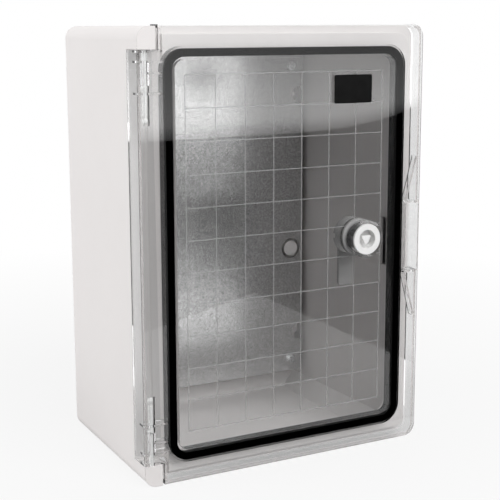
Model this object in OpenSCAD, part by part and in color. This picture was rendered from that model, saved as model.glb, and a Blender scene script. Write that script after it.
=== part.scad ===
// Wall-mounted plastic electrical cabinet with a clear hinged door and a steel mounting plate.
// Millimetres. X runs to the right seen from the front, the front faces -Y and Z is up.
// The origin is the centre of the four wall fixings, on the plane of the wall.

/* [Cabinet] */
// Width of the body
body_w = 250; // [220:1:300]
// Height of the body
body_h = 350; // [300:1:420]
// Depth from the wall to the face of the door
cabinet_d = 167; // [140:1:220]
// Thickness of the body's walls
wall = 3; // [2.5:0.1:4]
// Radius of the body's outer edges and of the door's free corners
corner_r = 10; // [6:0.5:14]

/* [Front rim] */
// Width of the low ledge that runs round the rim under the door's skirt
ledge_w = 6; // [5:0.5:9]
// Height of the raised land inside the ledge
land_h = 3; // [2:0.5:4]
// Distance from the body's sides to the middle of the sealing lip
lip_inset = 19.5; // [17:0.5:26]
// Thickness of the sealing lip
lip_w = 2.2; // [1.6:0.1:3]
// Corner radius of the sealing lip at its middle line
lip_r = 12.5; // [10:0.5:20]
// Width of the hinge posts at the two left corners
post_w = 15.3; // [15:0.1:18]
// Height of the hinge posts
post_h = 17; // [14:0.5:24]
// Rounding of the hinge posts' front edge beside the door
post_edge_r = 2; // [1:0.25:3]

/* [Door] */
// Thickness of the clear pane
pane = 3; // [2.5:0.1:4]
// Depth of the skirt round the free sides, from the face
skirt_d = 14; // [12:0.5:20]
// Thickness of the skirt and of the hinge side
skirt_wall = 2.5; // [2:0.1:3.5]
// Depth of the door's hinge side, from the face
hinge_side_d = 20.5; // [17:0.5:24]
// How far the door stands past the body at the top and on the right
door_overhang = 1; // [0:0.25:2]
// How far the door's lower edge stays above the body's underside
door_lift = 0.5; // [0:0.25:2]
// Play between the door and the parts of the body it meets
door_gap = 0.5; // [0.3:0.1:1]

/* [Seal] */
// Width of the rubber seal
seal_w = 6; // [5:0.5:8]
// Thickness of the rubber seal
seal_t = 6; // [4:0.5:7]
// Play between the seal and the lip
seal_gap = 0.2; // [0.1:0.1:0.5]
// Play between the seal and its channel
seal_play = 0.1; // [0.05:0.05:0.3]
// Thickness of the seal channel's outer wall
channel_outer = 1.6; // [1.2:0.1:2.5]
// Thickness of the seal channel's inner wall
channel_inner = 2; // [1.2:0.1:3]

/* [Marking grid] */
// Spacing of the moulded lines on the pane
grid_pitch = 25; // [20:1:30]
// Number of squares across
grid_cols = 7; // [5:1:8]
// Number of squares up
grid_rows = 11; // [8:1:12]
// Width of a moulded line
grid_line = 0.8; // [0.5:0.1:1.2]
// Height of a moulded line
grid_relief = 0.3; // [0.2:0.1:0.6]
// Height of the squares' middle above the door's middle
grid_rise = 1.2; // [-4:0.1:4]

/* [Hinges] */
// Distance from the body's left side to the hinge axis
pin_inset = 7; // [6.5:0.25:8]
// Distance from the door's face to the hinge axis
pin_depth = 5; // [4.5:0.25:6]
// Radius of the hinge pins
pin_r = 2.2; // [1.8:0.1:2.6]
// Play round a hinge pin
pin_play = 0.05; // [0.02:0.01:0.1]
// Depth of a pin's end in its post
pin_hold = 9; // [6:0.5:12]
// Length of a pin's free tail below its lower bearing
pin_tail = 15; // [12:1:26]
// Outer radius of the door's hinge barrels
barrel_r = 3.6; // [3.2:0.1:4.2]
// Length of the door's hinge barrels
barrel_l = 18; // [12:1:26]
// Distance from a hinge post to the barrel
barrel_drop = 8; // [5:0.5:12]
// Distance from a barrel to the outer bearing web
bearing_gap = 5; // [4:0.5:9]
// Thickness of the hinge webs
web_t = 1.6; // [1.2:0.1:2.4]
// Play between the swinging hinge side and the body
swing_gap = 0.4; // [0.3:0.1:0.8]

/* [Finger pull] */
// Height of the finger pocket in the door's edge
pull_h = 57; // [45:1:80]
// Depth of the finger pocket from the door's edge
pull_d = 14; // [11:0.5:16]
// Thickness of the pocket's walls and braces
pull_wall = 2; // [1.5:0.1:3]
// Height that a brace climbs beside the pocket
brace_h = 36; // [24:1:50]
// Depth of the braces behind the pane
brace_d = 5; // [3:0.5:7]

/* [Lock] */
// Distance from the body's right side to the lock
lock_inset = 59; // [50:1:70]
// Height of the lock above the middle
lock_rise = 5; // [-20:1:20]
// Radius of the lock's round head
lock_head_r = 12.5; // [11:0.25:14]
// How far the head stands out of the door
lock_head_h = 13; // [8:0.5:16]
// Thickness of the white cap that faces the head
lock_cap_t = 2; // [1.5:0.25:4]
// Number of flats round the dark sleeve under the cap
sleeve_flats = 12; // [6:1:18]
// Radius of the lock's threaded barrel
lock_barrel_r = 10; // [9:0.25:10.5]
// Radius of the key recess
key_recess_r = 7.6; // [7:0.1:8.5]
// Depth of the key recess
key_recess_d = 8; // [5:0.5:9]
// Side of the three-sided key drive
key_side = 10; // [7:0.25:11]
// How far the key drive stays below the head
key_sink = 1.5; // [0.5:0.5:4]
// Radius of the turning core
core_r = 6; // [5:0.25:6.5]
// Thickness of the seal under the lock's head
lock_seal_t = 1; // [0.5:0.25:2]
// Thickness of the clear guard ring round the lock's head
guard_wall = 2.3; // [1:0.1:3]
// Radius of the thickened pad behind the lock
lock_pad_r = 15.5; // [15:0.25:18]
// Thickness of that pad
lock_pad_t = 2; // [1:0.5:3]
// Radius of the lock's round nut
nut_r = 15.3; // [14:0.1:17]
// Thickness of the lock's nut
nut_t = 11; // [6:0.5:12]
// Width of the spanner notches in the back of the nut
nut_notch_w = 4; // [2:0.5:6]
// Depth of the spanner notches
nut_notch_d = 3; // [1:0.5:4]
// Length of the latch from the lock's axis to its tip
latch_l = 44; // [42:1:56]
// Width of the latch
latch_w = 14; // [12:0.5:18]
// Thickness of the latch
latch_t = 2.5; // [2:0.25:3.5]
// Play between the turned latch and the back of the rim
latch_gap = 2.5; // [1:0.1:4]
// Side of the square that drives the latch
latch_square = 7; // [6:0.25:8]
// Radius of the latch screw
latch_screw_r = 2.4; // [2:0.1:3]

/* [Mounting plate] */
// Room beside the plate when it is passed in through the rim
plate_gap_x = 2.8; // [2:0.1:6]
// Room above and below the plate when it is passed in
plate_gap_z = 3.9; // [2:0.1:8]
// Thickness of the plate
plate_t = 1.5; // [1:0.25:3]
// Corner radius of the plate
plate_r = 6; // [3:0.5:10]
// Depth of the space between the plate and the back wall
plate_stand = 19; // [12:0.5:26]
// Distance from the plate's long edges to its screws
screw_inset_x = 12.5; // [9:0.5:16]
// Distance from the plate's short edges to its screws
screw_inset_z = 11.5; // [9:0.5:18]
// Radius of the plate screws
screw_r = 1.9; // [1.5:0.1:2.5]
// Radius of the plate screws' heads
screw_head_r = 4; // [3.5:0.1:4.5]
// Length of the plate screws under the head
screw_l = 14; // [10:0.5:16]
// Radius of the screw bosses on the back wall
boss_r = 6; // [5:0.25:7]
// Radius of the locating studs moulded on the back wall
stud_r = 7; // [5:0.25:8]
// Drop of the locating studs below the middle
stud_drop = 31; // [20:1:50]
// Play round a locating stud in the plate
stud_play = 2.5; // [1:0.25:4]

/* [Inner wall] */
// Room between the plate's edge and the inner wall on the lock side, at the back
inner_gap = 3.5; // [2:0.25:6]
// Thickness of that inner wall
inner_t = 2.5; // [2:0.25:3.5]
// Legs of the bevels between the inner wall and the floor and roof
inner_bevel = 14; // [5:0.5:16]
// Room round the latch's path in the window through that wall
window_room = 3; // [2:0.5:8]
// Strip of the wall that is left between the window and the rim
window_web = 0.8; // [0.5:0.1:1.5]

/* [Wall fixings] */
// Distance from the plate's long edges to the wall fixings
fixing_inset_x = 3; // [0:0.5:10]
// Distance from the plate's short edges to the wall fixings
fixing_inset_z = 37.5; // [30:0.5:60]
// Radius of the wall fixing holes
fixing_r = 3; // [2:0.25:3.5]
// Radius of the pads round the wall fixing holes
fixing_pad_r = 7.5; // [6:0.25:8.5]
// Height of those pads inside the body
fixing_pad_h = 5; // [3:0.5:8]
// Play between the plate's notches and the pads
notch_play = 0.6; // [0.3:0.1:2]

/* [Name plate] */
// Width of the bare name plate
badge_w = 35; // [25:1:45]
// Height of the bare name plate
badge_h = 22.5; // [15:0.5:30]
// Thickness of the bare name plate
badge_t = 0.4; // [0.2:0.1:1]
// Distance from the door's right edge to the name plate
badge_inset_x = 49.5; // [46:0.5:60]
// Distance from the door's upper edge to the name plate
badge_inset_z = 39.5; // [34:0.5:60]

/* [Hidden] */
$fn = 72;
eps = 0.01;

// The door's face, the left side and the edges that other places are counted from
face_y = -cabinet_d;
left_x = -body_w / 2;
right_x = body_w / 2;
door_right = right_x + door_overhang;
door_top = body_h / 2 + door_overhang;
door_bottom = -body_h / 2 + door_lift;
post_z = body_h / 2 - post_h;

// Depths behind the door's face
ledge_t = skirt_d + door_gap;
land_t = ledge_t - land_h;
rim_back_t = ledge_t + wall;
channel_t = land_t - door_gap;
lip_t = pane + seal_t + seal_gap;

// Hinge axis, the reach of the door's hinge side about it and the round cove that clears it
pin_x = left_x + pin_inset;
pin_y = face_y + pin_depth;
hinge_reach = norm([pin_inset, hinge_side_d - pin_depth]);
cove_r = hinge_reach + swing_gap;
post_reach = norm([post_w - post_edge_r - pin_inset, pin_depth - post_edge_r]) + post_edge_r;
notch_x = pin_x + post_reach + swing_gap;
column_z = post_z - door_gap;
barrel_top = post_z - barrel_drop;
barrel_foot = barrel_top - barrel_l;
bearing_foot = barrel_foot - bearing_gap - web_t;
tail_foot = bearing_foot - pin_tail;
collar_r = pin_r + 0.8;
knob_r = pin_r + 0.3;

// Sealing lip, whose left side stands just clear of the cove
lip_left = pin_x + sqrt(pow(cove_r + swing_gap / 4, 2) - pow(lip_t - pin_depth, 2)) + lip_w / 2;
lip_right = right_x - lip_inset;
lip_cx = (lip_left + lip_right) / 2;
lip_span = lip_right - lip_left;
lip_rise = body_h - 2 * lip_inset;
channel_left = lip_left - seal_w / 2 - channel_outer;

// Lock, from its head to its latch
lock_x = right_x - lock_inset;
lock_back_t = pane + lock_pad_t;
latch_front_t = rim_back_t + latch_gap;
housing_back_t = latch_front_t - 2;
core_shoulder_t = key_recess_d - lock_head_h;
core_flange_t = 1.2;
core_play = 0.08;
thread_play = 0.15;
guard_r = lock_head_r + 0.4;
guard_foot_t = 1.2;
cap_back_t = lock_cap_t - lock_head_h;
sleeve_foot_t = -guard_foot_t - lock_seal_t;
washer_r = 6.5;
washer_t = 1;
latch_back_t = latch_front_t + latch_t;
latch_round = 3;
latch_eye_r = latch_w / 2 + 2;
latch_screw_head_r = 4.6;
latch_screw_head_h = 3;
latch_screw_l = 12;

// Mounting plate, as large as passes through the rim, and the wall fixings behind it
plate_w = 2 * floor(-lip_left - lip_w / 2 - plate_gap_x);
plate_h = 2 * floor(lip_rise / 2 - lip_w / 2 - plate_gap_z);
fixing_w = plate_w - 2 * fixing_inset_x;
fixing_h = plate_h - 2 * fixing_inset_z;
plate_back_y = -wall - plate_stand;
plate_face_y = plate_back_y - plate_t;
screw_x = plate_w / 2 - screw_inset_x;
screw_z = plate_h / 2 - screw_inset_z;
screw_hole_play = 0.1;
screw_head_h = 2.6;
notch_r = fixing_pad_r + notch_play;

// Inner wall from the rim to the plate's edge, let into the shell, and the window that the latch crosses
inner_bite = 1;
inner_step = 0.4;
inner_front_x = lip_right - lip_w / 2 + inner_step;
inner_front_y = face_y + rim_back_t - inner_bite;
inner_back_x = plate_w / 2 + inner_gap;
inner_run = -wall + inner_bite - inner_front_y;
inner_lean = atan((inner_front_x - inner_back_x) / inner_run);
inner_l = inner_run / cos(inner_lean);
latch_drop = sqrt(max(0, pow(latch_l, 2) - pow(inner_front_x - lock_x, 2)));
window_t = rim_back_t + window_web;
window_back_t = latch_back_t + window_room;
window_foot = lock_rise - latch_drop - latch_w / 2 - window_room;
window_top = lock_rise + latch_w / 2 + window_room;
window_w = inner_front_x + inner_t - inner_back_x + 2 * inner_bite;

SIDES = [-1, 1];
SCREWS = [[-1, 1], [1, 1], [-1, -1], [1, -1]];

// A quarter of a disc in the first quadrant
module quarter_disc(r) {
    intersection() {
        circle(r);
        square(r);
    }
}

// A rectangle with four round corners, centred
module rounded_rect(w, h, r) {
    square([w - 2 * r, h], center = true);
    for (s = SIDES) {
        translate([s * (w - r) / 2, 0])
            square([r, h - 2 * r], center = true);
        for (t = SIDES)
            translate([s * (w / 2 - r), t * (h / 2 - r)])
                scale([s, t])
                    quarter_disc(r);
    }
}

// A rectangle from x0 to x1 and z0 to z1 whose two right-hand corners are round
module right_rounded(x0, x1, z0, z1, r) {
    translate([x0, z0])
        square([x1 - r - x0, z1 - z0]);
    translate([x1 - r, z0 + r])
        square([r, z1 - z0 - 2 * r]);
    translate([x1 - r, z1 - r])
        quarter_disc(r);
    translate([x1 - r, z0 + r])
        mirror([0, 1])
            quarter_disc(r);
}

// Extrudes an outline, drawn as seen from the front, between two depths behind the door's face
module slab(t0, t1) {
    translate([0, face_y + t1, 0])
        rotate([90, 0, 0])
            linear_extrude(t1 - t0)
                children();
}

// Revolves a profile of radius and depth about the lock's axis, depth counted from the door's face
module lock_turned() {
    translate([lock_x, face_y, lock_rise])
        rotate([-90, 0, 0])
            rotate_extrude()
                children();
}

// A tub with round long edges and a rounded back, open side at y = -d
module tub(w, h, d, r) {
    cx = w / 2 - r;
    cz = h / 2 - r;
    translate([0, -r, 0])
        rotate([90, 0, 0])
            linear_extrude(d - r)
                rounded_rect(w, h, r);
    translate([-cx, -r, -cz])
        cube([2 * cx, r, 2 * cz]);
    for (s = [0, 1]) {
        mirror([0, 0, s])
            translate([-cx, -r, cz])
                rotate([90, 0, 90])
                    linear_extrude(2 * cx)
                        quarter_disc(r);
        mirror([s, 0, 0])
            translate([cx, -r, -cz])
                linear_extrude(2 * cz)
                    quarter_disc(r);
        for (t = [0, 1])
            mirror([s, 0, 0])
                mirror([0, 0, t])
                    translate([cx, -r, cz])
                        rotate_extrude(angle = 90)
                            quarter_disc(r);
    }
}

// The outline at the middle of the sealing lip, grown by an offset
module lip_outline(grow) {
    translate([lip_cx, 0])
        rounded_rect(lip_span + 2 * grow, lip_rise + 2 * grow, lip_r + grow);
}

module lip_ring(outer, inner) {
    difference() {
        lip_outline(outer);
        lip_outline(inner);
    }
}

// An upright cylinder about the hinge axis between two heights
module about_hinge(r, z0, z1) {
    translate([pin_x, pin_y, z0])
        cylinder(r = r, h = z1 - z0);
}

// A hinge post, a block that follows the body's corner and is round on the edge the door swings past
module hinge_post() {
    intersection() {
        slab(-eps, rim_back_t)
            intersection() {
                rounded_rect(body_w, body_h, corner_r);
                translate([left_x, post_z])
                    square([post_w, post_h]);
            }
        translate([left_x, face_y, post_z])
            linear_extrude(post_h) {
                square([post_w - post_edge_r, rim_back_t]);
                translate([0, post_edge_r])
                    square([post_w, rim_back_t - post_edge_r]);
                translate([post_w - post_edge_r, post_edge_r])
                    mirror([0, 1])
                        quarter_disc(post_edge_r);
            }
    }
}

// A round boss standing on the inside of the back wall
module back_boss(x, z, r, h) {
    translate([x, -wall + eps, z])
        rotate([90, 0, 0])
            cylinder(r = r, h = h + eps);
}

// A round hole along Y between two places
module y_hole(x, z, r, y0, y1) {
    translate([x, y1, z])
        rotate([90, 0, 0])
            cylinder(r = r, h = y1 - y0);
}

// The hollow inside the body, which stops short of the hinge cove's wall
module body_hollow() {
    difference() {
        translate([0, -wall, 0])
            tub(body_w - 2 * wall, body_h - 2 * wall, cabinet_d - wall - rim_back_t, corner_r - wall);
        about_hinge(cove_r + wall, -body_h, body_h);
    }
}

// The inner wall on the lock side: it leans in from the rim to the plate's edge, with bevels above and below
module inner_wall() {
    intersection() {
        translate([0, -inner_bite, 0])
            tub(
                body_w - 2 * inner_bite, body_h - 2 * inner_bite,
                cabinet_d - rim_back_t, corner_r - inner_bite);
        translate([inner_front_x, inner_front_y, 0])
            rotate([0, 0, inner_lean]) {
                translate([0, 0, -body_h / 2])
                    cube([inner_t, inner_l, body_h]);
                for (s = [0, 1])
                    mirror([0, 0, s])
                        translate([0, inner_l, -body_h / 2 + wall])
                            rotate([90, 0, 0])
                                linear_extrude(inner_l)
                                    polygon([
                                        [inner_bite, -inner_bite],
                                        [-inner_bevel - inner_bite, -inner_bite],
                                        [inner_bite, inner_bevel + inner_bite]]);
            }
    }
}

// The window through the inner wall that the turned latch passes, behind the rim
module latch_window() {
    translate([inner_back_x - inner_bite, face_y + window_t, window_foot])
        cube([window_w, window_back_t - window_t, window_top - window_foot]);
}

module body() {
    color("whitesmoke")
    difference() {
        union() {
            difference() {
                union() {
                    tub(body_w, body_h, cabinet_d - ledge_t, corner_r);
                    slab(land_t, ledge_t + eps)
                        difference() {
                            rounded_rect(body_w - 2 * ledge_w, body_h - 2 * ledge_w, corner_r);
                            translate([left_x, -body_h / 2])
                                square([lip_left - lip_w / 2 - left_x, body_h]);
                        }
                    slab(lip_t, ledge_t + eps)
                        lip_outline(lip_w / 2);
                    for (s = [0, 1])
                        mirror([0, 0, s])
                            hinge_post();
                }
                body_hollow();
                slab(lip_t - 1, rim_back_t + 1)
                    lip_outline(-lip_w / 2);
                about_hinge(cove_r, -post_z, post_z);
            }
            inner_wall();
            for (s = SIDES) {
                for (t = SIDES) {
                    back_boss(s * screw_x, t * screw_z, boss_r, plate_stand);
                    back_boss(s * fixing_w / 2, t * fixing_h / 2, fixing_pad_r, fixing_pad_h);
                }
                back_boss(s * screw_x, -stud_drop, stud_r, plate_stand + plate_t);
            }
        }
        latch_window();
        for (s = SIDES) {
            for (t = SIDES) {
                y_hole(
                    s * screw_x, t * screw_z, screw_r + screw_hole_play,
                    plate_face_y - 1, plate_face_y + screw_l + 1);
                y_hole(s * fixing_w / 2, t * fixing_h / 2, fixing_r, -wall - fixing_pad_h - 1, 1);
            }
            mirror([0, 0, (1 - s) / 2])
                about_hinge(pin_r + pin_play, post_z - 1, post_z + pin_hold + 1);
        }
    }
}

module mounting_plate() {
    color("silver")
    translate([0, plate_back_y, 0])
        rotate([90, 0, 0])
            linear_extrude(plate_t)
                difference() {
                    rounded_rect(plate_w, plate_h, plate_r);
                    for (s = SIDES) {
                        for (t = SIDES) {
                            translate([s * screw_x, t * screw_z])
                                circle(screw_r + 0.7);
                            translate([s * fixing_w / 2, t * fixing_h / 2])
                                circle(notch_r);
                            translate([s * (fixing_w + plate_w) / 4, t * fixing_h / 2])
                                square([abs(plate_w - fixing_w) / 2 + 1, 2 * notch_r], center = true);
                        }
                        translate([s * screw_x, -stud_drop])
                            circle(stud_r + stud_play);
                    }
                }
}

// A pan-head cross-recess screw, seated on y = 0 with its shank along +Y
module pan_screw(r, l, head_r, head_h) {
    dome = head_h * 0.55;
    rotate([-90, 0, 0])
        difference() {
            rotate_extrude() {
                square([r, l]);
                translate([0, -head_h + dome])
                    square([head_r, head_h - dome]);
                translate([0, -head_h])
                    square([head_r - dome, dome + eps]);
                translate([head_r - dome, -head_h + dome])
                    mirror([0, 1])
                        quarter_disc(dome);
            }
            for (a = [0, 90])
                rotate([0, 0, a])
                    translate([-head_r * 0.6, -r * 0.25, -head_h - 1])
                        cube([head_r * 1.2, r * 0.5, head_h * 0.6 + 1]);
        }
}

module plate_screw(place) {
    color("lightgray")
    translate([place[0] * screw_x, plate_face_y, place[1] * screw_z])
        pan_screw(screw_r, screw_l, screw_head_r, screw_head_h);
}

// The door's front outline, notched at the left for the two hinge posts
module door_outline() {
    right_rounded(notch_x, door_right, door_bottom, door_top, corner_r);
    translate([left_x, -column_z])
        square([notch_x - left_x + eps, 2 * column_z]);
}

// The skirt's outline, open on the hinge side and at the finger pocket
module skirt_outline() {
    difference() {
        right_rounded(notch_x, door_right, door_bottom, door_top, corner_r);
        right_rounded(
            notch_x + skirt_wall, door_right - skirt_wall,
            door_bottom + skirt_wall, door_top - skirt_wall, corner_r - skirt_wall);
        translate([notch_x - 1, -column_z])
            square([skirt_wall + 2, 2 * column_z]);
        translate([door_right - pull_d, -pull_h / 2])
            square([pull_d + 1, pull_h]);
    }
}

// The finger pocket's wall, a rounded channel open to the right
module pull_outline() {
    intersection() {
        difference() {
            rounded_rect(2 * pull_d, pull_h + 2 * pull_wall, 2 * pull_wall);
            rounded_rect(2 * (pull_d - pull_wall), pull_h, pull_wall);
        }
        translate([-pull_d, -pull_h])
            square([pull_d, 2 * pull_h]);
    }
}

// One slanting brace from the pocket's corner to the skirt
module brace_outline() {
    run = pull_d - skirt_wall - pull_wall;
    translate([pull_wall - pull_d, pull_h / 2 + pull_wall / 2])
        rotate(atan2(brace_h, run))
            square([norm([run, brace_h]) + pull_wall, pull_wall]);
}

module marking_grid() {
    w = grid_cols * grid_pitch;
    h = grid_rows * grid_pitch;
    cx = (left_x + door_right) / 2;
    cz = (door_top + door_bottom) / 2 + grid_rise;
    translate([cx, cz]) {
        for (i = [0:grid_cols])
            translate([i * grid_pitch - w / 2, 0])
                square([grid_line, h + grid_line], center = true);
        for (i = [0:grid_rows])
            translate([0, i * grid_pitch - h / 2])
                square([w + grid_line, grid_line], center = true);
    }
}

// A web across the hinge column at a height, inside the reach of the hinge side
module hinge_web(z, left = pin_inset) {
    translate([pin_x, pin_y, z])
        linear_extrude(web_t)
            intersection() {
                circle(hinge_reach - swing_gap);
                translate([-left, -pin_depth])
                    square([channel_left - pin_x + left + eps, channel_t]);
            }
}

// The barrel and webs that carry the upper pin; the lower ones mirror them
module knuckle() {
    about_hinge(barrel_r, barrel_foot, barrel_top);
    hinge_web(column_z - web_t);
    hinge_web(barrel_top - web_t);
    hinge_web((barrel_top + barrel_foot - web_t) / 2, 0);
    hinge_web(bearing_foot);
}

// The pane, hollowed behind for the collar and tail of each pin
module door_pane() {
    difference() {
        slab(0, pane)
            door_outline();
        for (s = [0, 1])
            mirror([0, 0, s])
                about_hinge(collar_r + 0.3, tail_foot - 3 * knob_r, barrel_foot);
    }
}

module door() {
    color("azure", 0.3)
    difference() {
        union() {
            door_pane();
            slab(0, skirt_d)
                skirt_outline();
            slab(0, hinge_side_d)
                translate([left_x, -column_z])
                    square([skirt_wall, 2 * column_z]);
            slab(pane - eps, channel_t) {
                lip_ring(seal_w / 2 + channel_outer, seal_w / 2);
                lip_ring(-seal_w / 2, -seal_w / 2 - channel_inner);
                translate([door_right, 0])
                    pull_outline();
            }
            slab(pane - eps, pane + brace_d)
                for (s = [0, 1])
                    translate([door_right, 0])
                        mirror([0, s])
                            brace_outline();
            slab(pane - eps, pane + grid_relief)
                marking_grid();
            for (s = [0, 1])
                mirror([0, 0, s])
                    knuckle();
            lock_turned()
                square([lock_pad_r, lock_back_t]);
        }
        lock_turned()
            translate([0, -lock_head_h])
                square([lock_barrel_r + thread_play, lock_head_h + lock_back_t + 1]);
        about_hinge(pin_r + pin_play, -column_z - 1, column_z + 1);
    }
}

module door_seal() {
    color("black")
    slab(pane, pane + seal_t)
        lip_ring(seal_w / 2 - seal_play, -seal_w / 2 + seal_play);
}

// The upper hinge pin: its end in the post, the shank, a stop collar and a tail with a pull knob
module hinge_pin() {
    top = post_z + pin_hold;
    collar_t = 1.5;
    neck = 1.5;
    translate([pin_x, pin_y, 0])
        rotate_extrude() {
            polygon([
                [0, tail_foot],
                [pin_r, tail_foot],
                [pin_r, top - 1],
                [pin_r - 0.7, top],
                [0, top]
            ]);
            translate([0, barrel_foot - collar_t - door_gap])
                square([collar_r, collar_t]);
            translate([0, tail_foot - neck - knob_r])
                square([pin_r - 0.8, neck + knob_r + eps]);
            translate([0, tail_foot - neck - knob_r])
                intersection() {
                    circle(knob_r);
                    translate([0, -knob_r])
                        square([knob_r, 2 * knob_r]);
                }
        }
}

module hinge_pin_upper() {
    color("white")
    hinge_pin();
}

module hinge_pin_lower() {
    color("white")
    mirror([0, 0, 1])
        hinge_pin();
}

// The white cap with its key recess, and the barrel that passes through the pane
module lock_housing() {
    color("white")
    lock_turned()
        difference() {
            union() {
                translate([0, -lock_head_h])
                    square([lock_head_r, lock_cap_t]);
                translate([0, -lock_head_h + 1])
                    square([lock_barrel_r, lock_head_h - 1 + housing_back_t]);
            }
            translate([0, -lock_head_h - 1])
                square([key_recess_r, key_recess_d + 1]);
            translate([0, -lock_head_h])
                square([core_r + core_play, lock_head_h + housing_back_t + 1]);
        }
}

// The dark sleeve under the cap, with flats round its outside
module lock_sleeve() {
    color("dimgray")
    difference() {
        translate([lock_x, face_y + cap_back_t, lock_rise])
            rotate([-90, 0, 0])
                cylinder(r = lock_head_r - 0.2, h = sleeve_foot_t - cap_back_t, $fn = sleeve_flats);
        lock_turned()
            translate([0, -lock_head_h])
                square([lock_barrel_r + thread_play, lock_head_h]);
    }
}

module lock_seal() {
    color("black")
    lock_turned()
        translate([lock_barrel_r + thread_play, sleeve_foot_t])
            square([lock_head_r - 1 - lock_barrel_r - thread_play, lock_seal_t]);
}

// A clear ring that stands round the head, its foot held under the seal
module lock_guard() {
    color("azure", 0.3)
    lock_turned() {
        translate([guard_r, -lock_head_h + 1])
            square([guard_wall, lock_head_h - 1]);
        translate([lock_barrel_r + thread_play, -guard_foot_t])
            square([guard_r - lock_barrel_r - thread_play + eps, guard_foot_t]);
    }
}

// The round nut behind the pane, notched at the back for a spanner
module lock_nut() {
    color("white")
    difference() {
        lock_turned()
            translate([lock_barrel_r + thread_play, lock_back_t])
                square([nut_r - lock_barrel_r - thread_play, nut_t]);
        for (a = [0, 90])
            translate([lock_x, face_y + lock_back_t + nut_t, lock_rise])
                rotate([0, a, 0])
                    cube([3 * nut_r, 2 * nut_notch_d, nut_notch_w], center = true);
    }
}

module name_plate() {
    color("black")
    slab(-badge_t, 0)
        translate([door_right - badge_inset_x - badge_w / 2, door_top - badge_inset_z - badge_h / 2])
            rounded_rect(badge_w, badge_h, 1.5);
}

// The three-sided key drive, point down, with blunt corners
module key_outline() {
    blunt = 1;
    rise = key_side * sqrt(3) / 2;
    intersection() {
        polygon([
            [-key_side / 2, rise / 3],
            [key_side / 2, rise / 3],
            [0, -rise * 2 / 3]
        ]);
        circle(rise * 2 / 3 - blunt);
    }
}

// The turning core: key drive, round shank in the housing and a square that carries the latch
module lock_core() {
    color("white")
    difference() {
        union() {
            slab(key_sink - lock_head_h, core_shoulder_t)
                translate([lock_x, lock_rise])
                    key_outline();
            lock_turned() {
                translate([0, core_shoulder_t - core_flange_t])
                    square([key_recess_r - 0.3, core_flange_t]);
                translate([0, core_shoulder_t - eps])
                    square([core_r, latch_front_t - core_shoulder_t + eps]);
            }
            slab(latch_front_t - eps, latch_back_t)
                translate([lock_x, lock_rise])
                    square(latch_square, center = true);
        }
        lock_turned()
            translate([0, latch_back_t - latch_screw_l])
                square([latch_screw_r + core_play, latch_screw_l + 1]);
    }
}

// The latch hangs down when unlocked and turns a quarter to reach behind the rim
module lock_latch() {
    color("gray")
    slab(latch_front_t, latch_back_t)
        translate([lock_x, lock_rise])
            difference() {
                union() {
                    circle(latch_eye_r);
                    translate([-latch_w / 2, -latch_l + latch_round])
                        square([latch_w, latch_l - latch_round]);
                    translate([-latch_w / 2 + latch_round, -latch_l])
                        square([latch_w - 2 * latch_round, latch_round]);
                    for (s = [0, 1])
                        mirror([s, 0])
                            translate([latch_w / 2 - latch_round, -latch_l + latch_round])
                                mirror([0, 1])
                                    quarter_disc(latch_round);
                }
                square(latch_square + 2 * core_play, center = true);
            }
}

module latch_washer() {
    color("lightgray")
    lock_turned()
        translate([latch_screw_r + core_play, latch_back_t])
            square([washer_r - latch_screw_r - core_play, washer_t]);
}

module latch_screw() {
    color("lightgray")
    translate([lock_x, face_y + latch_back_t + washer_t, lock_rise])
        mirror([0, 1, 0])
            pan_screw(latch_screw_r, latch_screw_l - 1, latch_screw_head_r, latch_screw_head_h);
}

body();
mounting_plate();
for (i = [0:3])
    plate_screw(SCREWS[i]);
door();
door_seal();
hinge_pin_upper();
hinge_pin_lower();
lock_housing();
lock_sleeve();
lock_seal();
lock_guard();
lock_nut();
name_plate();
lock_core();
lock_latch();
latch_washer();
latch_screw();
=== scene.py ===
"""Looks for a wall-mounted plastic electrical cabinet with a clear door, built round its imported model."""
import math

import bpy
from mathutils import Matrix, Vector


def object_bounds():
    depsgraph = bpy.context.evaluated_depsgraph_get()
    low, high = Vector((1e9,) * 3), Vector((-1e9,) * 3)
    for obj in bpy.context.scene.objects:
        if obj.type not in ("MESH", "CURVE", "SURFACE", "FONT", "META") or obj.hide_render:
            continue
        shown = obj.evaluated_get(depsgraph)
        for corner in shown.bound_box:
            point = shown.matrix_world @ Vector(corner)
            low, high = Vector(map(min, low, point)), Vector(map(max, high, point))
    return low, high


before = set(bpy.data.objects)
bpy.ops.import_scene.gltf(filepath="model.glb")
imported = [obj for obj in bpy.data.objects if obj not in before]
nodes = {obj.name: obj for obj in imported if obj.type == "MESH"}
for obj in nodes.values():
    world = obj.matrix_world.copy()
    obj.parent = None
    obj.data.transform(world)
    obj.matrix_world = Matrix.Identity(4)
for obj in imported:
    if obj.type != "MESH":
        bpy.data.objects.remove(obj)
cad_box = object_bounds()

MM = 1000.0
# The part of 0 to 1 that a noise texture mostly fills
NOISE_SPAN = (0.3, 0.7)
ABS_IOR = 1.53
PC_IOR = 1.58


# Node helpers

def grey(value):
    return (value, value, value)


def new_material(name):
    m = bpy.data.materials.new(name)
    m.use_nodes = True
    nt = m.node_tree
    return m, nt, nt.nodes["Principled BSDF"]


def add(nt, kind, **settings):
    n = nt.nodes.new(kind)
    for key, value in settings.items():
        if key in n.inputs:
            n.inputs[key].default_value = value
        else:
            setattr(n, key, value)
    return n


def object_coords(nt):
    return add(nt, "ShaderNodeTexCoord").outputs["Object"]


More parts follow.
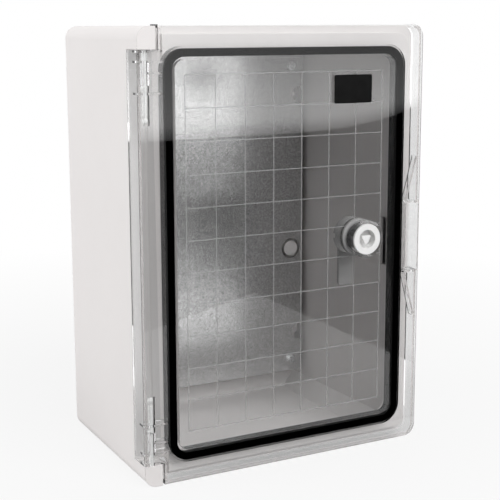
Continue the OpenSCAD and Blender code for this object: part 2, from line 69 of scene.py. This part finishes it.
def noise(nt, coords, scale, detail=3.0, roughness=0.55, stretch=None):
    if stretch is not None:
        mapping = add(nt, "ShaderNodeMapping")
        mapping.inputs["Scale"].default_value = stretch
        nt.links.new(coords, mapping.inputs["Vector"])
        coords = mapping.outputs["Vector"]
    n = add(nt, "ShaderNodeTexNoise", Scale=scale, Detail=detail, Roughness=roughness)
    nt.links.new(coords, n.inputs["Vector"])
    return n.outputs["Fac"]


def remap(nt, fac, low, high, to_low, to_high):
    n = add(nt, "ShaderNodeMapRange")
    n.inputs["From Min"].default_value = low
    n.inputs["From Max"].default_value = high
    n.inputs["To Min"].default_value = to_low
    n.inputs["To Max"].default_value = to_high
    nt.links.new(fac, n.inputs["Value"])
    return n.outputs["Result"]


def math_node(nt, operation, a, b):
    n = add(nt, "ShaderNodeMath", operation=operation)
    for socket, value in zip(n.inputs, (a, b)):
        if isinstance(value, (int, float)):
            socket.default_value = value
        else:
            nt.links.new(value, socket)
    return n.outputs["Value"]


def mix_shaders(nt, fac, first, second, surface):
    """The first shader where fac is 0 and the second where it is 1."""
    mix = add(nt, "ShaderNodeMixShader")
    nt.links.new(fac, mix.inputs["Fac"])
    nt.links.new(first, mix.inputs[1])
    nt.links.new(second, mix.inputs[2])
    nt.links.new(mix.outputs["Shader"], surface)


def bump(nt, height, strength, distance, below=None):
    b = add(nt, "ShaderNodeBump", Strength=strength, Distance=distance)
    nt.links.new(height, b.inputs["Height"])
    if below is not None:
        nt.links.new(below, b.inputs["Normal"])
    return b.outputs["Normal"]


def soft_edge(nt, radius):
    """Edges eased by the mould or the press, in the shading alone."""
    return add(nt, "ShaderNodeBevel", samples=4, Radius=radius).outputs["Normal"]


def colour_by(nt, bsdf, fac, dark, light, span=NOISE_SPAN):
    """Base colour from dark to light over a span of the texture."""
    r = add(nt, "ShaderNodeValToRGB")
    for item, position, colour in zip(r.color_ramp.elements, span, (dark, light)):
        item.position = position
        item.color = (*colour, 1.0)
    nt.links.new(fac, r.inputs["Fac"])
    nt.links.new(r.outputs["Color"], bsdf.inputs["Base Color"])


def rough_by(nt, bsdf, fac, low, high, span=NOISE_SPAN):
    """Roughness from low to high over a span of the texture."""
    nt.links.new(remap(nt, fac, *span, low, high), bsdf.inputs["Roughness"])


def normal_from(nt, bsdf, normal):
    nt.links.new(normal, bsdf.inputs["Normal"])


# Materials

def moulded_plastic(name, dark, light, rough, grain, edge):
    """Opaque moulded plastic: a slow change of tone, satin patches and a fine spark-eroded grain."""
    m, nt, bsdf = new_material(name)
    co = object_coords(nt)
    colour_by(nt, bsdf, noise(nt, co, scale=9.0, detail=4.0), dark, light)
    vary = 0.05
    rough_by(nt, bsdf, noise(nt, co, scale=60.0), rough - vary, rough + vary)
    wave = bump(nt, noise(nt, co, scale=30.0, detail=2.0), strength=0.06, distance=0.0004,
                below=soft_edge(nt, edge))
    normal_from(nt, bsdf, bump(nt, noise(nt, co, scale=2600.0, detail=2.0), strength=grain,
                               distance=0.00008, below=wave))
    bsdf.inputs["IOR"].default_value = ABS_IOR
    return m


def lets_light_in(nt, bsdf, tint):
    """Clear plastic that passes lamp light and scattered light on, and bends only what is looked at."""
    path = add(nt, "ShaderNodeLightPath")
    passing = math_node(nt, "MAXIMUM", path.outputs["Is Shadow Ray"], path.outputs["Is Diffuse Ray"])
    clear = add(nt, "ShaderNodeBsdfTransparent")
    clear.inputs["Color"].default_value = (*tint, 1.0)
    mix_shaders(nt, passing, bsdf.outputs["BSDF"], clear.outputs["BSDF"],
                nt.nodes["Material Output"].inputs["Surface"])


def clear_plastic(name, ior, tint):
    """Clear moulded plastic: faint flow ripple, light handling haze and a grey tint at every face."""
    m, nt, bsdf = new_material(name)
    co = object_coords(nt)
    bsdf.inputs["Base Color"].default_value = (*tint, 1.0)
    bsdf.inputs["Transmission Weight"].default_value = 1.0
    bsdf.inputs["IOR"].default_value = ior
    rough_by(nt, bsdf, noise(nt, co, scale=14.0, detail=6.0), 0.0, 0.02, span=(0.5, 0.85))
    normal_from(nt, bsdf, bump(nt, noise(nt, co, scale=10.0, detail=2.0), strength=0.03, distance=0.0005))
    lets_light_in(nt, bsdf, tint=(0.92, 0.921, 0.921))
    return m


def etched_plastic(name, clear, dark, light, rough, grain):
    """Clear plastic that the mould leaves rough: it blurs what is behind it and catches a little light."""
    m, nt, bsdf = new_material(name)
    co = object_coords(nt)
    colour_by(nt, bsdf, noise(nt, co, scale=grain), grey(dark), grey(light))
    bsdf.inputs["Transmission Weight"].default_value = clear
    bsdf.inputs["IOR"].default_value = PC_IOR
    rough_by(nt, bsdf, noise(nt, co, scale=1.3 * grain), 0.7 * rough, 1.3 * rough)
    normal_from(nt, bsdf, bump(nt, noise(nt, co, scale=4.0 * grain, detail=2.0), strength=0.2,
                               distance=0.00005))
    lets_light_in(nt, bsdf, tint=grey(0.85))
    return m


def foam_rubber(name):
    """Black foamed rubber: fine closed cells and hardly any shine."""
    m, nt, bsdf = new_material(name)
    co = object_coords(nt)
    colour_by(nt, bsdf, noise(nt, co, scale=500.0, detail=4.0), grey(0.004), grey(0.011), span=(0.3, 0.75))
    rough_by(nt, bsdf, noise(nt, co, scale=800.0), 0.65, 0.8)
    bsdf.inputs["Specular IOR Level"].default_value = 0.15
    normal_from(nt, bsdf, bump(nt, noise(nt, co, scale=1800.0), strength=0.5, distance=0.0001))
    return m


def galvanised(name):
    """Hot-dip sheet: small zinc crystals, each tilted a little its own way, with faint rolling lines."""
    span = (0.2, 0.8)
    lean_most = 0.014
    crystal_share, other_share = 0.6, 0.2
    m, nt, bsdf = new_material(name)
    co = object_coords(nt)
    cells = add(nt, "ShaderNodeTexVoronoi", Scale=880.0, Randomness=1.0)
    nt.links.new(co, cells.inputs["Vector"])
    patch = add(nt, "ShaderNodeRGBToBW")
    nt.links.new(cells.outputs["Color"], patch.inputs["Color"])
    cloud = noise(nt, co, scale=70.0, detail=5.0, roughness=0.65)
    lines = noise(nt, co, scale=1.0, roughness=0.6, stretch=(800.0, 800.0, 8.0))
    tone = math_node(nt, "ADD", math_node(nt, "MULTIPLY", patch.outputs["Val"], crystal_share),
                     math_node(nt, "MULTIPLY", math_node(nt, "ADD", cloud, lines), other_share))
    colour_by(nt, bsdf, tone, grey(0.41), grey(0.66), span)
    rough_by(nt, bsdf, tone, 0.27, 0.23, span)
    bsdf.inputs["Metallic"].default_value = 0.95
    tilt = add(nt, "ShaderNodeVectorMath", operation="MULTIPLY_ADD")
    nt.links.new(cells.outputs["Color"], tilt.inputs[0])
    tilt.inputs[1].default_value = grey(2.0 * lean_most)
    tilt.inputs[2].default_value = grey(-lean_most)
    lean = add(nt, "ShaderNodeVectorMath", operation="ADD")
    nt.links.new(soft_edge(nt, radius=0.0003), lean.inputs[0])
    nt.links.new(tilt.outputs["Vector"], lean.inputs[1])
    normal_from(nt, bsdf, bump(nt, cloud, strength=0.04, distance=0.0001, below=lean.outputs["Vector"]))
    return m


def zinc(name):
    """Bright zinc plating on small steel pieces."""
    m, nt, bsdf = new_material(name)
    co = object_coords(nt)
    colour_by(nt, bsdf, noise(nt, co, scale=180.0, detail=4.0), (0.55, 0.56, 0.57), (0.72, 0.73, 0.74))
    rough_by(nt, bsdf, noise(nt, co, scale=400.0), 0.22, 0.38)
    bsdf.inputs["Metallic"].default_value = 1.0
    normal_from(nt, bsdf, bump(nt, noise(nt, co, scale=1500.0, detail=2.0), strength=0.15,
                               distance=0.00005, below=soft_edge(nt, radius=0.0002)))
    return m


def black_film(name):
    """Bare black film with a fine matte grain."""
    m, nt, bsdf = new_material(name)
    co = object_coords(nt)
    colour_by(nt, bsdf, noise(nt, co, scale=120.0), grey(0.003), grey(0.006))
    rough_by(nt, bsdf, noise(nt, co, scale=260.0), 0.4, 0.55)
    bsdf.inputs["Specular IOR Level"].default_value = 0.08
    normal_from(nt, bsdf, bump(nt, noise(nt, co, scale=3500.0, detail=2.0), strength=0.15,
                               distance=0.00005, below=soft_edge(nt, radius=0.0002)))
    return m


ABS = moulded_plastic("abs_shell", (0.79, 0.76, 0.752), (0.81, 0.78, 0.772),
                      rough=0.45, grain=0.25, edge=0.0006)
# The hollow's plastic is rougher than the shell's, and darker than it as painted shade
HOLLOW_SHADED = moulded_plastic("abs_shell_inside_painted_shade", (0.64, 0.621, 0.616), (0.67, 0.65, 0.645),
                         rough=0.55, grain=0.35, edge=0.0006)
WHITE = moulded_plastic("white_plastic", (0.82, 0.82, 0.815), (0.85, 0.85, 0.845),
                        rough=0.36, grain=0.12, edge=0.0004)
DARK = moulded_plastic("dark_plastic", (0.05, 0.052, 0.054), (0.09, 0.092, 0.094),
                       rough=0.3, grain=0.15, edge=0.0003)
GREY = moulded_plastic("grey_plastic", (0.3, 0.296, 0.295), (0.35, 0.346, 0.345),
                       rough=0.45, grain=0.2, edge=0.0003)
FOOT = moulded_plastic("grey_plastic_foot", (0.5, 0.497, 0.496), (0.56, 0.557, 0.556),
                       rough=0.4, grain=0.2, edge=0.0003)
CLEAR = clear_plastic("clear_pc", ior=PC_IOR, tint=(0.925, 0.926, 0.926))
GUARD = clear_plastic("clear_pc_guard", ior=1.05, tint=(0.865, 0.866, 0.866))
FROSTED = etched_plastic("clear_pc_frosted", clear=0.66, dark=0.55, light=0.65, rough=0.2, grain=700.0)
TEXTURED = etched_plastic("clear_pc_textured", clear=0.85, dark=0.8, light=0.9, rough=0.22, grain=300.0)
RUBBER = foam_rubber("black_rubber")
GALV = galvanised("galvanised_sheet")
ZINC = zinc("zinc_steel")
FILM = black_film("black_film")

FINISH = {
    "body": ABS, "mounting_plate": GALV, "door": CLEAR, "door_seal": RUBBER,
    "hinge_pin_upper": WHITE, "hinge_pin_lower": WHITE, "lock_housing": WHITE, "lock_sleeve": DARK,
    # The lock nut is white plastic; the grey plastic on it is painted shade
    "lock_seal": RUBBER, "lock_guard": GUARD, "lock_nut": GREY, "name_plate": FILM,
    "lock_core": WHITE, "lock_latch": GREY, "latch_washer": ZINC, "latch_screw": ZINC,
    "plate_screw_1": ZINC, "plate_screw_2": ZINC, "plate_screw_3": ZINC, "plate_screw_4": ZINC,
}
# Finishes that some faces of a node have in place of its own, in the order of their indices from 1
FACE_FINISHES = {"body": [HOLLOW_SHADED], "lock_guard": [FOOT], "door": [FROSTED, RUBBER, TEXTURED]}
for name, material in FINISH.items():
    mesh = nodes[name].data
    mesh.materials.clear()
    for finish in [material] + FACE_FINISHES.get(name, []):
        mesh.materials.append(finish)


# Faces with a finish of their own, found by their centres in mm

HOLLOW_Y = (-149.6, -2.9)
HOLLOW_HALF_X, HOLLOW_HALF_Z = 122.1, 172.1
GUARD_FOOT_Y = -167.05
GRID_Y = (-163.99, -163.6)
GRID_MID_X, GRID_MID_Z = 0.5, 1.95
GRID_HALF_X, GRID_HALF_Z = 88.5, 138.5
CHANNEL_Y = (-164.1, -155.9)
CHANNEL_HALF = 3.05
PULL_Y = (-164.2, -155.5)
PULL_X, PULL_HALF_Z = 113.8, 28.6
SEAL_MID_X, SEAL_HALF_X, SEAL_HALF_Z, SEAL_CORNER_R = 2.80, 102.70, 155.50, 12.5


def from_seal_line(x, z):
    """Distance from the middle of the seal, seen from the front."""
    dx = abs(x - SEAL_MID_X) - (SEAL_HALF_X - SEAL_CORNER_R)
    dz = abs(z) - (SEAL_HALF_Z - SEAL_CORNER_R)
    return math.hypot(max(dx, 0.0), max(dz, 0.0)) + min(max(dx, dz), 0.0) - SEAL_CORNER_R


def body_face(x, y, z):
    """1 in the hollow, which gets a rougher copy of the shell's plastic, darker as painted shade."""
    inside = HOLLOW_Y[0] < y < HOLLOW_Y[1] and abs(x) < HOLLOW_HALF_X and abs(z) < HOLLOW_HALF_Z
    return 1 if inside else 0


def guard_face(x, y, z):
    """1 on the foot, which is glued to the door."""
    return 1 if y > GUARD_FOOT_Y else 0


def door_face(x, y, z):
    """1 on the tops of the moulded lines, 2 in the channel where rubber is glued, 3 in the finger pull."""
    on_grid = abs(x - GRID_MID_X) < GRID_HALF_X and abs(z - GRID_MID_Z) < GRID_HALF_Z
    if GRID_Y[0] < y < GRID_Y[1] and on_grid:
        return 1
    if CHANNEL_Y[0] < y < CHANNEL_Y[1] and abs(from_seal_line(x, z)) < CHANNEL_HALF:
        return 2
    if PULL_Y[0] < y < PULL_Y[1] and x > PULL_X and abs(z) < PULL_HALF_Z:
        return 3
    return 0


for name, finish_of in (("body", body_face), ("lock_guard", guard_face), ("door", door_face)):
    for face in nodes[name].data.polygons:
        face.material_index = finish_of(*(MM * c for c in face.center))


# Stage: a plain pale floor, four cards that only reflections see, a white surround and soft studio light

scene = bpy.context.scene
scene.view_settings.view_transform = "Standard"
floor_z = cad_box[0].z

FLOOR_HALF = 8.0
FLOOR_GREY = 0.45
# Distances from the middle of the part, in metres, over which the floor turns white
FLOOR_NEAR, SEEN_FAR, MIRRORED_FAR = 0.22, 0.8, 0.34
SEEN_NEAR_WHITE, SEEN_FAR_WHITE = 0.88, 1.0
MIRRORED_NEAR_WHITE, MIRRORED_FAR_WHITE = 0.33, 0.95


def stage_mesh(name, points, faces):
    mesh = bpy.data.meshes.new(name)
    mesh.from_pydata(points, [], faces)
    o = bpy.data.objects.new(name, mesh)
    scene.collection.objects.link(o)
    m = bpy.data.materials.new(name)
    m.use_nodes = True
    m.node_tree.nodes.clear()
    mesh.materials.append(m)
    surface = add(m.node_tree, "ShaderNodeOutputMaterial").inputs["Surface"]
    return o, m, m.node_tree, surface


def mirrored_ray(nt, path):
    """1 on a ray that a glossy face reflects or a clear one passes on."""
    return math_node(nt, "MAXIMUM", path.outputs["Is Glossy Ray"], path.outputs["Is Transmission Ray"])


corners = [(-1, -1), (1, -1), (1, 1), (-1, 1)]
ft, surface = stage_mesh("floor", [(x * FLOOR_HALF, y * FLOOR_HALF, floor_z) for x, y in corners],
                         [(0, 1, 2, 3)])[2:]
matte = add(ft, "ShaderNodeBsdfDiffuse")
matte.inputs["Color"].default_value = (*grey(FLOOR_GREY), 1.0)
glow = add(ft, "ShaderNodeEmission")
path = add(ft, "ShaderNodeLightPath")
away = add(ft, "ShaderNodeVectorMath", operation="LENGTH")
ft.links.new(add(ft, "ShaderNodeNewGeometry").outputs["Position"], away.inputs[0])
distance = away.outputs["Value"]
seen_white = math_node(
    ft, "MULTIPLY", path.outputs["Is Camera Ray"],
    remap(ft, distance, FLOOR_NEAR, SEEN_FAR, SEEN_NEAR_WHITE, SEEN_FAR_WHITE))
mirrored_white = math_node(
    ft, "MULTIPLY",
    remap(ft, distance, FLOOR_NEAR, MIRRORED_FAR, MIRRORED_NEAR_WHITE, MIRRORED_FAR_WHITE),
    mirrored_ray(ft, path))
mix_shaders(ft, math_node(ft, "MAXIMUM", seen_white, mirrored_white),
            matte.outputs["BSDF"], glow.outputs["Emission"], surface)


def mirrored_only(made, shader, where="anywhere"):
    """A card that shows in reflections alone: of any face, of an outer one, or of one behind plastic."""
    o, m, nt, surface = made
    path = add(nt, "ShaderNodeLightPath")
    mirrored = math_node(nt, "MINIMUM", path.outputs["Glossy Depth"], 1.0)
    if where != "anywhere":
        side = "LESS_THAN" if where == "outside" else "GREATER_THAN"
        none_passed = 0.5
        on_side = math_node(nt, side, path.outputs["Transmission Depth"], none_passed)
        mirrored = math_node(nt, "MULTIPLY", mirrored, on_side)
    mix_shaders(nt, mirrored, add(nt, "ShaderNodeBsdfTransparent").outputs["BSDF"], shader, surface)
    m.cycles.emission_sampling = "NONE"
    o.visible_camera = o.visible_diffuse = o.visible_shadow = False


def dark_shader(nt):
    shade = add(nt, "ShaderNodeBsdfDiffuse")
    shade.inputs["Color"].default_value = (*grey(0.004), 1.0)
    return shade.outputs["BSDF"]


def flat_card(name, outline, z):
    return stage_mesh(name, [(*p, z) for p in outline], [tuple(range(len(outline)))])


# The cards lie on the floor in front of the part, and the bright one stands along their far edge
FAR = [(-1.5, -2.58), (0.967, -2.598), (1.208, -2.613), (1.458, -2.633),
       (1.684, -2.724), (2.029, -2.977), (2.428, -3.365), (4.5, -5.4)]
SHEET = [(0.245, -0.2), (0.245, -0.685), (0.07, -0.586), (-0.612, -0.2)]
NEAR_Y = -0.2
CARD_LIFT, CARD_GAP = 0.0015, 0.001
PALE_STRENGTH = 1.5
card_z = floor_z + CARD_LIFT

around = FAR + [(FAR[-1][0], NEAR_Y)] + SHEET + [(FAR[0][0], NEAR_Y)]
made = flat_card("dark_card", around, card_z)
mirrored_only(made, dark_shader(made[2]))
made = flat_card("grey_card", SHEET, card_z)
mirrored_only(made, dark_shader(made[2]), "outside")
made = flat_card("pale_card", SHEET, card_z + CARD_GAP)
pale = add(made[2], "ShaderNodeEmission", Strength=PALE_STRENGTH)
mirrored_only(made, pale.outputs["Emission"], "inside")

BRIGHT_H = 0.9
BRIGHT_LEFT_X, BRIGHT_RIGHT_X = 0.95, 1.75
BRIGHT_LEFT, BRIGHT_RIGHT = 3.0, 2.2
# Heights above the card's foot between which it brightens, and then dims to the share named
RISE_FROM, RISE_TO = -0.02, 0.05
DIM_FROM, DIM_TO, DIM_SHARE = 0.08, 0.27, 0.7
# Shares of the strength at the door's front face, at its back face and on the plate behind it
FRONT_SHARE, BACK_SHARE, PLATE_SHARE = 0.55, 1.3, 0.9
# Clear faces that a ray has passed by then
BACK_DEPTH, PLATE_DEPTH = 2.0, 4.0

count = len(FAR)
made = stage_mesh("bright_card", [(*p, card_z) for p in FAR] + [(*p, card_z + BRIGHT_H) for p in FAR],
                  [(i, i + 1, i + 1 + count, i + count) for i in range(count - 1)])
bt = made[2]
place = add(bt, "ShaderNodeSeparateXYZ")
bt.links.new(object_coords(bt), place.inputs["Vector"])
across = remap(bt, place.outputs["X"], BRIGHT_LEFT_X, BRIGHT_RIGHT_X, BRIGHT_LEFT, BRIGHT_RIGHT)
rise = math_node(bt, "MULTIPLY",
                 remap(bt, place.outputs["Z"], card_z + RISE_FROM, card_z + RISE_TO, 0.0, 1.0),
                 remap(bt, place.outputs["Z"], card_z + DIM_FROM, card_z + DIM_TO, 1.0, DIM_SHARE))
depth = add(bt, "ShaderNodeLightPath").outputs["Transmission Depth"]
inner = math_node(bt, "MULTIPLY", remap(bt, depth, 0.0, BACK_DEPTH, FRONT_SHARE, BACK_SHARE),
                  remap(bt, depth, BACK_DEPTH, PLATE_DEPTH, 1.0, PLATE_SHARE))
shine = add(bt, "ShaderNodeEmission")
bt.links.new(math_node(bt, "MULTIPLY", inner, math_node(bt, "MULTIPLY", across, rise)),
             shine.inputs["Strength"])
mirrored_only(made, shine.outputs["Emission"])

# The surround is white where it is seen or mirrored, and lights the part least from the front and below
FILL_MOST, FILL_LEAST, FILL_TURN = 0.42, 0.05, 0.45
world = bpy.data.worlds.new("surround")
scene.world = world
world.use_nodes = True
wt = world.node_tree
wt.nodes.clear()
surface = add(wt, "ShaderNodeOutputWorld").inputs["Surface"]
seen = add(wt, "ShaderNodeBackground", Strength=1.0)
fill = add(wt, "ShaderNodeBackground")
for background in (seen, fill):
    background.inputs["Color"].default_value = (*grey(1.0), 1.0)
toward = add(wt, "ShaderNodeSeparateXYZ")
wt.links.new(add(wt, "ShaderNodeTexCoord").outputs["Generated"], toward.inputs["Vector"])
ahead = math_node(wt, "SUBTRACT", math_node(wt, "MULTIPLY", toward.outputs["Y"], -1.0), toward.outputs["Z"])
wt.links.new(remap(wt, ahead, -FILL_TURN, FILL_TURN, FILL_MOST, FILL_LEAST), fill.inputs["Strength"])
path = add(wt, "ShaderNodeLightPath")
direct = math_node(wt, "MAXIMUM", path.outputs["Is Camera Ray"], mirrored_ray(wt, path))
mix_shaders(wt, direct, fill.outputs["Background"], seen.outputs["Background"], surface)


def softbox(name, at, aim, size, power):
    lamp = bpy.data.lights.new(name, "AREA")
    lamp.shape = "RECTANGLE"
    lamp.size, lamp.size_y = size
    lamp.energy = power
    o = bpy.data.objects.new(name, lamp)
    o.location = at
    o.rotation_euler = (Vector(aim) - Vector(at)).to_track_quat("-Z", "Y").to_euler()
    o.visible_camera = o.visible_transmission = False
    scene.collection.objects.link(o)


softbox("key", at=(0.45, -1.9, 1.4), aim=(0, -0.15, 0), size=(2.0, 1.9), power=54.0)
softbox("side", at=(-2.3, 0.45, 0.7), aim=(-0.12, -0.08, 0), size=(1.6, 1.6), power=36.0)


# Camera, solved from the door's moulded squares and the cabinet's edges

PICTURE_PX, FOCAL_PX, SHIFT_PX = 500.0, 1119.49, -25.0
SENSOR_MM = 36.0
YAW, PITCH, ROLL = math.radians(-27.637), math.radians(-10.029), math.radians(0.15)
EYE = Vector((-0.42940, -0.92218, 0.17384))
lens = bpy.data.cameras.new("camera")
lens.sensor_width = SENSOR_MM
lens.lens = FOCAL_PX / PICTURE_PX * SENSOR_MM
lens.shift_y = SHIFT_PX / PICTURE_PX
lens.clip_start, lens.clip_end = 0.01, 50.0
camera = bpy.data.objects.new("camera", lens)
aim = (Matrix.Rotation(YAW, 4, "Z") @ Matrix.Rotation(PITCH, 4, "X") @ Matrix.Rotation(ROLL, 4, "Y")
       @ Matrix.Rotation(math.pi / 2, 4, "X"))
camera.matrix_world = Matrix.Translation(EYE) @ aim
scene.collection.objects.link(camera)
scene.camera = camera
